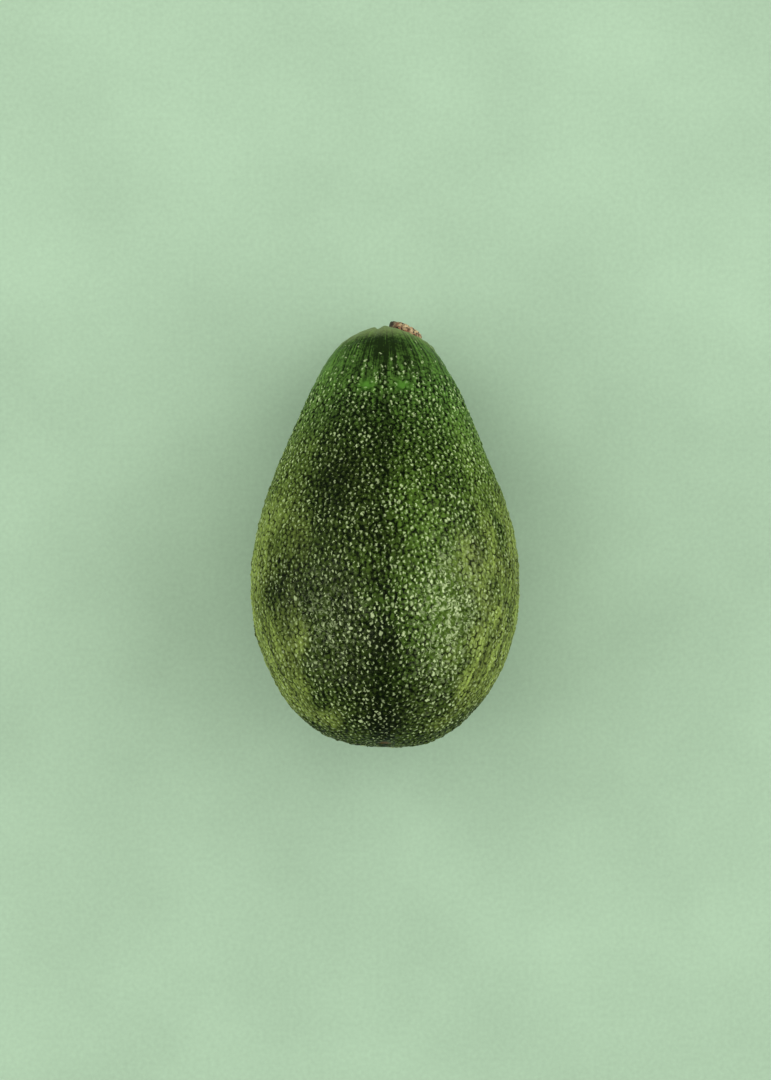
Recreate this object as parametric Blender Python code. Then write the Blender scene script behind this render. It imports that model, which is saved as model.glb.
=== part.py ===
"""A fresh pebbly-skinned avocado with its stem button, lying on its side.

Metres, +Z up. The stem end points to +Y. The origin is on the surface that the
fruit lies on, under the middle of the outline that it has from above. The fruit
lies the way that it comes to rest, its centre of mass over a small flat spot,
which dips the stem end a little.
"""

import math

import bmesh
import bpy
import numpy as np
from mathutils import Matrix, Vector, noise

# The fruit under its pebbles.
FRUIT_LENGTH = 0.1063
FRUIT_WIDTH = 0.0671
THICKNESS_SHARE = 0.965  # depth against width: it lies on its flatter side
# How full the outline is against an ellipse, in powers of the cosine of an angle
# that runs from 0 at the blossom end to 180 degrees at the stem end.
FULLNESS = (0.958, 0.334, -0.142, -0.156, 0.271)
SWELL_HEIGHT = 0.0004  # broad unevenness of the flesh
SWELL_SIZE = 0.024
BLOSSOM_DIMPLE_DEPTH = 0.0006
BLOSSOM_DIMPLE_RADIUS = 0.004
FLAT_SPOT_DEPTH = 0.0008

# The pebbled skin: a little larger than life, and smooth round the stem.
PEBBLE_COUNT = 1900
PEBBLE_HEIGHT = 0.2  # share of the spacing
PEBBLE_UNEVENNESS = 0.25
PEBBLE_JITTER = 0.38  # share of the spacing
PEBBLE_EVENING = 3  # passes that even out the gaps between pebbles
SMOOTH_CAP_RADIUS = 0.008
PEBBLED_RADIUS = 0.014
CLOSER_RADIUS = 0.016  # within this of the stem end the pebble lattice is closer
CLOSER_FACTOR = 4.0
SKIN_SEED = 11

# The stem's seat, a shallow basin to one side of the fruit's axis.
STEM_OFFSET = 0.0051
SEAT_RADIUS = 0.0046
SEAT_DEPTH = 0.0012
SEAT_EDGE = 0.0014
SHOULDER_RADIUS = 0.0074
SHOULDER_WIDTH = 0.002
SHOULDER_HEIGHT = 0.0006
# The fold that crosses the shoulder beside the button
FOLD_OFFSET = 0.0065
FOLD_WIDTH = 0.0008
FOLD_LENGTH = 0.004
FOLD_DEPTH = 0.0012

# The stem button: the corky end of the stem that stays on the picked fruit.
BUTTON_RADIUS = 0.0043
BUTTON_THICKNESS = 0.0025
BUTTON_TAPER = 0.25  # how much thinner its outer side is
BUTTON_SQUARENESS = 0.45
BUTTON_LUMP = 0.0003
BUTTON_LUMP_SIZE = 0.0022
BUTTON_DISH_DEPTH = 0.0004
BUTTON_DISH_RADIUS = 0.0022
BUTTON_SEGMENTS = 30
BUTTON_GAP = 0.0003

GOLDEN_ANGLE = math.pi * (3 - math.sqrt(5))


def smoothstep(x, low, high):
    """0 below low, 1 above high, with a smooth rise between."""
    t = min(1.0, max(0.0, (x - low) / (high - low)))
    return t * t * (3 - 2 * t)


def bell(x, width):
    """1 at x = 0, falling to nothing over a few widths."""
    return math.exp(-((x / width) ** 2))


class Meridian:
    """The plain fruit's outline from the blossom end to the stem end."""

    def __init__(self, steps=4000):
        angle = np.linspace(1e-4, math.pi - 1e-4, steps)
        c = np.cos(angle)
        fullness = sum(k * c**power for power, k in enumerate(FULLNESS))
        self.along = FRUIT_LENGTH / 2 * (1 - c)
        self.radius = FRUIT_WIDTH / 2 * np.sin(angle) * fullness
        step = np.hypot(np.diff(self.along), np.diff(self.radius))
        middle = (self.radius[1:] + self.radius[:-1]) / 2
        self.arc = self.running_sum(step)
        to_stem = np.clip((self.arc[-1] - self.arc[1:]) / CLOSER_RADIUS, 0, 1)
        closer = CLOSER_FACTOR + (1 - CLOSER_FACTOR) * to_stem**2
        share = self.running_sum(step * middle * closer)
        self.share = share / share[-1]  # of the pebbles, from the blossom end to here
        # A turned surface keeps its angles on a sphere whose latitude follows the
        # running sum of arc length over radius.
        stretch = self.running_sum(step / middle)
        self.latitude = 2 * np.arctan(np.exp(stretch - stretch[-1] / 2)) - math.pi / 2

    @staticmethod
    def running_sum(steps):
        return np.concatenate([[0], np.cumsum(steps)])

    def touch_down(self):
        """Where the fruit touches what it lies on, as along and depth below the axis,
        and the angle by which the stem end dips. There the outward normal passes
        through the centre of mass."""
        depth = THICKNESS_SHARE * self.radius
        centre = np.average(self.along, weights=self.radius**2 * np.gradient(self.along))
        slope = np.gradient(depth, self.along)
        miss = np.abs(self.along + depth * slope - centre)
        belly = np.abs(self.along / FRUIT_LENGTH - 0.5) < 0.25
        at = np.argmin(np.where(belly, miss, np.inf))
        return self.along[at], depth[at], math.atan(-slope[at])


def pebble_lattice(meridian):
    """A bmesh on the unit sphere, and the distances between its pebbles on the skin.
    Its first vertices are the pebbles' tops, spread by the golden angle, jittered and
    evened out. The rest are valleys, one between every three tops."""
    rng = np.random.default_rng(SKIN_SEED)
    count = np.arange(PEBBLE_COUNT)
    share = (count + 0.5) / PEBBLE_COUNT
    arc = np.interp(share, meridian.share, meridian.arc)
    radius = np.interp(share, meridian.share, meridian.radius)
    spacing = np.sqrt(2 * math.pi * radius * np.gradient(arc))
    arc += PEBBLE_JITTER * spacing * rng.uniform(-1, 1, PEBBLE_COUNT)
    turn = count * GOLDEN_ANGLE
    turn += PEBBLE_JITTER * spacing / radius * rng.uniform(-1, 1, PEBBLE_COUNT)
    latitude = np.interp(arc, meridian.arc, meridian.latitude)

    bm = bmesh.new()
    for lat, lon in zip(latitude, turn):
        bm.verts.new((math.cos(lat) * math.cos(lon), math.sin(lat), math.cos(lat) * math.sin(lon)))
    for _ in range(PEBBLE_EVENING):
        bmesh.ops.convex_hull(bm, input=bm.verts)
        bmesh.ops.smooth_vert(
            bm, verts=bm.verts, factor=0.5, use_axis_x=True, use_axis_y=True, use_axis_z=True
        )
        bmesh.ops.delete(bm, geom=bm.edges, context="EDGES_FACES")
        for vertex in bm.verts:
            vertex.co.normalize()
    bmesh.ops.convex_hull(bm, input=bm.verts)
    between_tops = bm.edges[:]
    bmesh.ops.poke(bm, faces=bm.faces[:])
    bmesh.ops.rotate_edges(bm, edges=between_tops)
    bmesh.ops.recalc_face_normals(bm, faces=bm.faces)
    return bm, spacing


def plain_skin(direction, meridian):
    """The place on the plain fruit for a place on the unit sphere."""
    latitude = math.asin(max(-1.0, min(1.0, direction.normalized().y)))
    along = np.interp(latitude, meridian.latitude, meridian.along)
    radius = np.interp(latitude, meridian.latitude, meridian.radius)
    turn = math.atan2(direction.z, direction.x)
    return Vector((radius * math.cos(turn), along, THICKNESS_SHARE * radius * math.sin(turn)))


def stem_frame(meridian):
    """The frame of the stem's seat: its origin on the plain skin, its Z pointing out."""
    stem_half = slice(len(meridian.along) // 2, None)
    radius = meridian.radius[stem_half][::-1]
    along = meridian.along[stem_half][::-1]
    slope = np.interp(STEM_OFFSET, radius, np.gradient(along, radius))
    out = Vector((-slope, 1, 0)).normalized()
    up = Vector((0, 0, 1))
    turned = Matrix((out.cross(up), -up, out)).transposed()
    centre = Vector((STEM_OFFSET, np.interp(STEM_OFFSET, radius, along), 0))
    return Matrix.Translation(centre) @ turned.to_4x4()


def shape_stem_end(point, stem):
    """The point, moved for the flat seat of the stem, the shoulder round it and the
    fold across the shoulder."""
    place = stem.inverted() @ point
    across = math.hypot(place.x, place.y)
    if place.z < -2 * SHOULDER_RADIUS or across > 2 * SHOULDER_RADIUS:
        return point
    outside = smoothstep(across, SEAT_RADIUS, SEAT_RADIUS + SEAT_EDGE)
    shoulder = SHOULDER_HEIGHT * bell(across - SHOULDER_RADIUS, SHOULDER_WIDTH)
    fold = FOLD_DEPTH * bell(place.x + FOLD_OFFSET, FOLD_WIDTH) * bell(place.y, FOLD_LENGTH)
    place.z = outside * (place.z + shoulder - fold) - (1 - outside) * SEAT_DEPTH
    return stem @ place


def fruit_mesh(meridian, stem):
    """The whole fruit, with a raised pebble at each of the lattice's tops and creases
    between the pebbles."""
    rng = np.random.default_rng(SKIN_SEED + 1)
    bm, spacing = pebble_lattice(meridian)
    heights = PEBBLE_HEIGHT * spacing * (1 + PEBBLE_UNEVENNESS * rng.uniform(-1, 1, PEBBLE_COUNT))
    heights = heights.tolist()
    for vertex in bm.verts:
        vertex.co = plain_skin(vertex.co, meridian)
    bm.normal_update()
    blossom_end = Vector((0, 0, 0))
    for number, vertex in enumerate(bm.verts):
        lift = SWELL_HEIGHT * noise.noise(vertex.co / SWELL_SIZE)
        lift -= BLOSSOM_DIMPLE_DEPTH * bell((vertex.co - blossom_end).length, BLOSSOM_DIMPLE_RADIUS)
        if number < PEBBLE_COUNT:
            from_stem = (vertex.co - stem.translation).length
            lift += heights[number] * smoothstep(from_stem, SMOOTH_CAP_RADIUS, PEBBLED_RADIUS)
        vertex.co = shape_stem_end(vertex.co + lift * vertex.normal, stem)
    for edge in bm.edges:
        is_valley = min(vertex.index for vertex in edge.verts) >= PEBBLE_COUNT
        from_stem = (edge.verts[0].co - stem.translation).length
        edge.smooth = not is_valley or from_stem < PEBBLED_RADIUS
    mesh = bpy.data.meshes.new("fruit")
    bm.to_mesh(mesh)
    bm.free()
    return mesh


def button_mesh():
    """The stem button, its Z pointing out of the fruit: a sphere squared off into a
    thick disc, thinner on its outer side, dished on top and lumpy."""
    bm = bmesh.new()
    bmesh.ops.create_uvsphere(
        bm, u_segments=BUTTON_SEGMENTS, v_segments=BUTTON_SEGMENTS // 2, radius=1
    )
    for vertex in bm.verts:
        x, y, z = vertex.co
        across = math.hypot(x, y)
        widen = BUTTON_RADIUS * across ** (BUTTON_SQUARENESS - 1) if across > 1e-6 else 0
        height = BUTTON_THICKNESS / 2 * (1 + math.copysign(abs(z) ** BUTTON_SQUARENESS, z))
        place = Vector((x * widen, y * widen, height * (1 - BUTTON_TAPER * x)))
        lump = BUTTON_LUMP * noise.noise(place / BUTTON_LUMP_SIZE)
        top = height / BUTTON_THICKNESS
        place.x *= 1 + lump / BUTTON_RADIUS
        place.y *= 1 + lump / BUTTON_RADIUS
        place.z += top * (lump - BUTTON_DISH_DEPTH * bell(place.xy.length, BUTTON_DISH_RADIUS))
        vertex.co = place
    mesh = bpy.data.meshes.new("stem_button")
    bm.to_mesh(mesh)
    bm.free()
    return mesh


def material(name, colour, roughness):
    """A plain non-metallic material."""
    made = bpy.data.materials.new(name)
    made.use_nodes = True
    shader = made.node_tree.nodes["Principled BSDF"]
    shader.inputs["Base Color"].default_value = (*colour, 1)
    shader.inputs["Roughness"].default_value = roughness
    shader.inputs["Metallic"].default_value = 0
    return made


def add_part(mesh, finish, collection, parent):
    """The mesh as an object of its own, shaded smooth, on the parent empty."""
    mesh.materials.append(finish)
    mesh.shade_smooth()
    part = bpy.data.objects.new(mesh.name, mesh)
    part.parent = parent
    collection.objects.link(part)
    return part


def flatten_rest_spot(fruit, world):
    """Moves what is below the surface up to it, so that the fruit lies on a flat spot."""
    back = world.inverted()
    for vertex in fruit.data.vertices:
        place = world @ vertex.co
        if place.z < 0:
            vertex.co = back @ Vector((place.x, place.y, 0))


def corners(parts, world):
    """The lowest and highest x and y of the parts in the world."""
    places = np.array([world @ part.matrix_basis @ v.co for part in parts for v in part.data.vertices])
    return places.min(axis=0), places.max(axis=0)


def main():
    for old in list(bpy.data.objects):
        bpy.data.objects.remove(old)
    avocado = bpy.data.collections.new("avocado")
    bpy.context.scene.collection.children.link(avocado)
    laid = bpy.data.objects.new("avocado_laid", None)
    avocado.objects.link(laid)

    meridian = Meridian()
    stem = stem_frame(meridian)
    skin = material("avocado_skin", (0.058, 0.094, 0.024), 0.42)
    cork = material("stem_cork", (0.27, 0.17, 0.09), 0.8)
    fruit = add_part(fruit_mesh(meridian, stem), skin, avocado, laid)
    button = add_part(button_mesh(), cork, avocado, laid)
    button.matrix_basis = stem @ Matrix.Translation((0, 0, BUTTON_GAP - SEAT_DEPTH))

    along, depth, dip = meridian.touch_down()
    laid.rotation_euler.x = -dip
    lowest = -along * math.sin(dip) - depth * math.cos(dip)
    turned = Matrix.Rotation(-dip, 4, "X")
    low, high = corners([fruit, button], turned)
    laid.location = (-(low[0] + high[0]) / 2, -(low[1] + high[1]) / 2, -lowest - FLAT_SPOT_DEPTH)
    flatten_rest_spot(fruit, Matrix.Translation(laid.location) @ turned)


main()
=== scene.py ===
"""A whole pebbly-skinned avocado with its stem button, on pale green paper.

The skin is one surface with every pebble modelled in it. It lies in the frame of the
solids: metres, +Z up, the stem end to +Y.
"""

import math

import bpy
import numpy as np
from bpy.props import FloatProperty, FloatVectorProperty, IntProperty, PointerProperty
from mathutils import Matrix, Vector
from mathutils.geometry import delaunay_2d_cdt


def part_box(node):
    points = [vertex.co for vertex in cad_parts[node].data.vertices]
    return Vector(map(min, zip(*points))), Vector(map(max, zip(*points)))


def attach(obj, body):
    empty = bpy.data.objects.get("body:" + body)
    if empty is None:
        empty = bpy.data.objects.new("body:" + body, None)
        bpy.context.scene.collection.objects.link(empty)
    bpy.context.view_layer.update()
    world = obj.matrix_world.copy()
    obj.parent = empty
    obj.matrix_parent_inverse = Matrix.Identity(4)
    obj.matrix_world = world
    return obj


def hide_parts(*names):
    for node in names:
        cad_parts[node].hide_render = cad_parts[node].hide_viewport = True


bl_info = {
    "name": "Avocado",
    "version": (1, 0, 0),
    "blender": (4, 5, 0),
    "location": "3D View > Sidebar > Avocado",
    "description": "A whole avocado with a pebbly skin and a corky stem button",
    "category": "Mesh",
}

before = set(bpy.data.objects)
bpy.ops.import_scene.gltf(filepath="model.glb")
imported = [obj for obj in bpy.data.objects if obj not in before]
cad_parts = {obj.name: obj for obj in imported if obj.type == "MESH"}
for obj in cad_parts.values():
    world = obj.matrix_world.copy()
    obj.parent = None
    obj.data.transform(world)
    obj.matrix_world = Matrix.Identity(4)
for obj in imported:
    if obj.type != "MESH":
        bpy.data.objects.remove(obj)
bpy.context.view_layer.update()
FRUIT_LOW, FRUIT_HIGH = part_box("fruit")
MM = 0.001
GOLDEN_ANGLE = math.pi * (3 - math.sqrt(5))

# How full the outline is against an ellipse, in powers of the cosine of an angle
# that runs from 0 at the blossom end to 180 degrees at the stem end.
FULLNESS = (0.958, 0.334, -0.142, -0.156, 0.271)

# The net of pebbles
SKIN_SEED = 5
PEBBLE_JITTER = 0.5  # share of the spacing
EVENING_PASSES = 1
RING_SHARE = (0.5, 0.68)  # how far out from a pebble's top its ring of corners lies
RING_LEVEL = 0.74  # height of the ring against the top
CAP_LEVEL = 0.9  # height of the smooth skin at the stem end against the pebbles' tops
CLOSER_REACH = 15 * MM  # within this of the stem end the net is closer
CLOSER_FACTOR = 3.0
SMOOTH_CAP = 14 * MM  # within this of the stem end the skin has no pebbles
PEBBLED = 28 * MM  # and from here on it has them in full
REGION_SIZE = 17 * MM  # wavelength of the regions in which the pebbles are alike
PIT_CHANCE = 0.5  # share of the valleys between pebbles that have a pit
PIT_DEPTH = 0.08 * MM  # of the deepest

# Between two distances from the stem end, this share more of the pebbles get a pale tip
TIP_SHARES = ((12.5 * MM, 14 * MM, 0.12), (15 * MM, 32 * MM, 0.84))
TIPLESS_BLOSSOM = 2 * MM  # within this of the blossom end no pebble has one

# Unevenness of the flesh under the skin: wavelength and height
SWELLS = ((24 * MM, 0.14 * MM), (8 * MM, 0.06 * MM), (2.6 * MM, 0.05 * MM))
BLOSSOM_DIMPLE_DEPTH = 0.6 * MM
BLOSSOM_DIMPLE_RADIUS = 4 * MM

# Soft clouds in the skin's tones: wavelength and strength
CLOUDS = ((21 * MM, 1.0), (9 * MM, 0.6))
# Broad darker and brighter places of the skin, which are painted shade and painted highlights:
# a shaded band down the middle, shade at the blossom end and under the shoulder, and
# highlights on the rims and low on the right. Their place across the fruit, from -1 at
# the left rim to 1 at the right, their place along it, from 0 at the blossom end to 1 at
# the stem end, their half widths, and how much brighter they are
LIGHT_AND_SHADE_BLOTCHES = (
    (0.0, 0.71, 0.5, 0.1, -0.35),
    (-0.35, 0.64, 0.3, 0.18, -0.3),
    (-0.55, 0.45, 0.3, 0.22, -0.22),
    (-0.9, 0.62, 0.28, 0.2, 0.65),
    (0.9, 0.67, 0.28, 0.16, 0.4),
    (0.0, 0.85, 0.6, 0.05, 0.3),
    (-0.65, 0.83, 0.3, 0.07, 0.25),
    (0.65, 0.83, 0.3, 0.07, 0.25),
    (0.0, 0.55, 0.11, 0.5, -0.35),
    (0.0, 0.07, 0.4, 0.12, -0.65),
    (0.5, 0.26, 0.28, 0.15, 0.5),
    (0.65, 0.41, 0.2, 0.07, -0.25),
    (0.35, 0.48, 0.15, 0.12, 0.25),
    (-0.4, 0.26, 0.3, 0.14, -0.15),
    (-0.75, 0.33, 0.15, 0.1, -0.5),
    (-0.6, 0.1, 0.3, 0.1, 0.2),
    (0.6, 0.03, 0.3, 0.05, 0.25),
    (-0.05, 0.22, 0.22, 0.12, -0.3),
    (0.0, 0.95, 0.6, 0.045, -1.0),
    (0.0, 0.9, 0.35, 0.045, -0.7),
    (-0.85, 0.3, 0.25, 0.3, 0.1),
    (0.8, 0.35, 0.25, 0.25, 0.05),
)
# Painted highlights where the pale tips run together into a net, in the same way
HIGHLIGHT_NETS = (
    (0.5, 0.27, 0.22, 0.15, 0.9),
    (-0.45, 0.24, 0.25, 0.1, 0.5),
)
# Smooth fresh green patches near the stem: place across and along, and half widths
PATCHES = ((-0.23, 0.828, 0.09, 0.012), (0.23, 0.828, 0.09, 0.012))
# Where the pale tips are bolder, where they are fainter and where the pale flank has a
# gap, in the same way
BOLD_TIPS = (0.0, 0.15, 0.45, 0.22)
FAINT_TIPS = (-0.6, 0.5, 0.3, 0.2)
FLANK_GAP = (-0.74, 0.32, 0.14, 0.12)

# The looks of the rind, with lengths in mm
DOT_WARP = 0.85  # how far a dot's outline is pushed about
DOT_LENGTHENING = 0.77  # share left out of the square of a distance along the fruit
DOT_INNER = 0.6  # a dot is full within this share of its radius
DOT_OUTER = 1.45  # and ends at this share
STREAK_SCALES = (34.0, 34.0, 14.0)  # shorter along the fruit, which draws them out
# The painted shade in the creases between the pebbles
CREASE_SHADE_INNER = 0.22  # creases begin this far from a pebble's top
CREASE_SHADE_OUTER = 0.75  # and are in full from here on
CROWN_INNER = 18.0  # the fresh green is in full within this of the stem
CROWN_OUTER = 50.0  # and ends here
SCAR_INNER = 1.2  # the scar at the blossom end, in the same way
SCAR_OUTER = 2.2

# The stem's seat, the shoulder round it and the fold that crosses the shoulder
SEAT_RADIUS = 4.6 * MM
SEAT_DEPTH = 1.2 * MM
SEAT_EDGE = 1.4 * MM
SHOULDER_RADIUS = 7.4 * MM
SHOULDER_WIDTH = 2 * MM
SHOULDER_HEIGHT = 0.6 * MM
FOLD_OFFSET = 6.5 * MM
FOLD_WIDTH = 0.8 * MM
FOLD_LENGTH = 8 * MM
FOLD_DEPTH = 1.2 * MM
# The shoulder gets a painted sheen, pale olive in place of the reflection along its
# rim, in this direction from the stem, which is beyond it and below it. The sheen sets in
# between two places along it, in mm from the stem.
SHEEN_DIRECTION = (0.0, 0.8, -0.6)
SHEEN_START = -7.0
SHEEN_FULL = -1.5

# The stem button
BUTTON_SQUARENESS = 0.45
BUTTON_GAP = 0.3 * MM
BUTTON_TURNS = 200
BUTTON_RINGS = 110
BUTTON_SEED = 21
COARSE_LUMPS = 3.4 * MM  # wavelengths in the cork
FINE_LUMPS = 1.1 * MM
CORK_PITS = 1.5 * MM
DISH_DEPTH = 0.4 * MM
DISH_RADIUS = 2.2 * MM

# The stage
PAPER_HALF = 6.0
PAPER_LEVEL = -0.05 * MM
LIGHT_ANGLE = math.radians(58)  # from straight above
LIGHT_SHIFT = 0.2  # towards the stem end
ZENITH_INNER = math.radians(12)  # the air is brightest within this of straight above
ZENITH_OUTER = math.radians(45)  # and as bright as all round from here on
CAMERA_SHIFT = (0.19 * MM, -0.5 * MM)  # from the fruit's middle
# Focal length in mm for each metre to the fruit's outline, for the photograph's framing
LENS_PER_METRE = 132.3

# Settings that many shader nodes share
ADD = {"operation": "ADD"}
SUBTRACT = {"operation": "SUBTRACT"}
MULTIPLY = {"operation": "MULTIPLY"}
MULTIPLY_ADD = {"operation": "MULTIPLY_ADD"}
MAXIMUM = {"operation": "MAXIMUM"}
SCALE = {"operation": "SCALE"}
DISTANCE = {"operation": "DISTANCE"}
DOT_PRODUCT = {"operation": "DOT_PRODUCT"}
SMOOTH = {"interpolation_type": "SMOOTHSTEP"}
COLOURS = {"data_type": "RGBA"}


def linear(colour):
    """Linear red, green and blue of an sRGB colour written as #rrggbb."""
    srgb = np.array([int(colour[i : i + 2], 16) / 255 for i in (1, 3, 5)])
    low = srgb / 12.92
    high = ((srgb + 0.055) / 1.055) ** 2.4
    return tuple(np.where(srgb <= 0.04045, low, high).tolist())


def length_property(name, description, default):
    return FloatProperty(
        name=name, description=description, default=default, unit="LENGTH", precision=5
    )


def share_property(name, description, default):
    return FloatProperty(
        name=name, description=description, default=default, subtype="FACTOR", precision=3
    )


def colour_property(name, description, default):
    return FloatVectorProperty(
        name=name, description=description, default=linear(default), subtype="COLOR"
    )


class AvocadoFruit(bpy.types.PropertyGroup):
    """Sizes and colours of the fruit and its skin"""

    width: length_property(
        "Width", "Across the fruit at its widest, pebbles included", FRUIT_HIGH.x - FRUIT_LOW.x
    )
    length_share: share_property("Length", "Length of the fruit against its width", 1.5755)
    thickness_share: share_property("Thickness", "Depth of the fruit against its width", 0.965)
    pebbles: IntProperty(
        name="Pebbles", description="How many pebbles the whole skin has", default=9800
    )
    pebble_height: length_property("Pebble height", "Height of an average pebble", 0.22 * MM)
    stem_offset: length_property("Stem offset", "From the fruit's axis to the stem", 5.1 * MM)
    dot_radius: length_property("Dot radius", "Radius of the pale tip of a pebble", 0.187 * MM)
    # Painted shade in the creases between the pebbles
    shade: colour_property("Shade", "Darkest green, between the pebbles", "#050f01")
    olive: colour_property("Olive", "Olive green of the riper side", "#3d4f1c")
    green: colour_property("Green", "Fresher green of the other side", "#466120")
    # Partly the skin's own yellower green, partly painted light on the rims
    flank: colour_property("Flank", "Yellower green of the flanks", "#6c7c39")
    crown: colour_property("Crown", "Fresh green round the stem", "#46682a")
    # Painted sheen on the shoulder's rim
    shoulder: colour_property("Shoulder", "Pale olive beside the stem", "#7f8f5c")
    dot: colour_property("Dot", "Pale tips of the pebbles", "#b2c290")
    patch: colour_property("Patch", "Smooth fresh patches near the stem", "#4c7c2a")
    # Painted shade in the pits between the pebbles
    pit: colour_property("Pit", "Dark pits between the pebbles", "#0a1002")
    scar: colour_property("Scar", "Brown scar at the blossom end", "#5a4128")


class AvocadoButton(bpy.types.PropertyGroup):
    """Sizes and colours of the stem button"""

    radius: length_property("Radius", "Radius of the button", 4.3 * MM)
    thickness: length_property("Thickness", "Thickness of the button at its middle", 2.7 * MM)
    taper: share_property("Taper", "How much thinner its outer side is", 0.3)
    lump: length_property("Lumps", "Height of the lumps in the cork", 0.3 * MM)
    cork: colour_property("Cork", "Dry cork of the button", "#cdb68a")
    rind: colour_property("Rind", "Pinkish brown of its side", "#8f6446")
    # Also painted shade in the cork's pits and on its inner side
    pit: colour_property("Pit", "Dark pits in the cork", "#1a1008")


class AvocadoStage(bpy.types.PropertyGroup):
    """The paper, the lights and the camera"""

    paper: colour_property("Paper", "Paper that the fruit lies on", "#a5c1a5")
    air: colour_property("Air", "Soft light from all round", "#d8d8d4")
    air_strength: share_property("Air strength", "Strength of the light from all round", 1.0)
    zenith_share: share_property("Zenith", "Brightness straight above against all round", 1.4)
    distance: length_property("Distance", "From the fruit's outline to the camera", 2.5)
    light_distance: length_property("Light distance", "From the fruit to each light", 0.9)
    light_size: length_property("Light size", "Side of each light", 1.0)
    right_power: FloatProperty(
        name="Right light", description="Power of the light on the right", default=5.2, unit="POWER"
    )
    left_power: FloatProperty(
        name="Left light", description="Power of the light on the left", default=4.5, unit="POWER"
    )


def add_node(tree, kind, settings=None, inputs=None):
    """Adds a shader node of a kind. settings are its properties. inputs are its sockets
    by name or number: an output that is given is linked, and a value is set."""
    node = tree.nodes.new("ShaderNode" + kind)
    for name, value in (settings or {}).items():
        setattr(node, name, value)
    for key, value in (inputs or {}).items():
        if isinstance(value, bpy.types.NodeSocket):
            tree.links.new(value, node.inputs[key])
        else:
            node.inputs[key].default_value = value
    return node


def new_material(name):
    """An empty material and its node tree."""
    made = bpy.data.materials.new(name)
    made.use_nodes = True
    made.node_tree.nodes.clear()
    return made, made.node_tree


def smoothstep(x, low, high):
    """0 below low, 1 above high, with a smooth rise between."""
    t = np.clip((x - low) / (high - low), 0, 1)
    return t * t * (3 - 2 * t)


def bell(x, width):
    """1 at x = 0, falling to nothing over a few widths."""
    return np.exp(-((x / width) ** 2))


def spot(across, along, place, share, wide, high):
    """1 at a place across and along the fruit, falling to nothing round it."""
    return bell(across - place, wide) * bell(along - share, high)


def unit(vectors):
    """The vectors, each scaled to length 1."""
    return vectors / np.linalg.norm(vectors, axis=1, keepdims=True)


def ripple(places, wavelength, seed, waves=24):
    """A smooth random field of about unit size: the sum of plane waves of one
    wavelength, in random directions and with random phases."""
    rng = np.random.default_rng(seed)
    directions = 2 * np.pi / wavelength * unit(rng.normal(size=(waves, 3)))
    phases = rng.uniform(0, 2 * np.pi, waves)
    return np.cos(places @ directions.T + phases).sum(axis=1) * math.sqrt(2 / waves)


def on_sphere(latitude, turn):
    """Places on the unit sphere, whose pole is +Y."""
    across = np.cos(latitude)
    return np.stack([across * np.cos(turn), np.sin(latitude), across * np.sin(turn)], axis=1)


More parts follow.
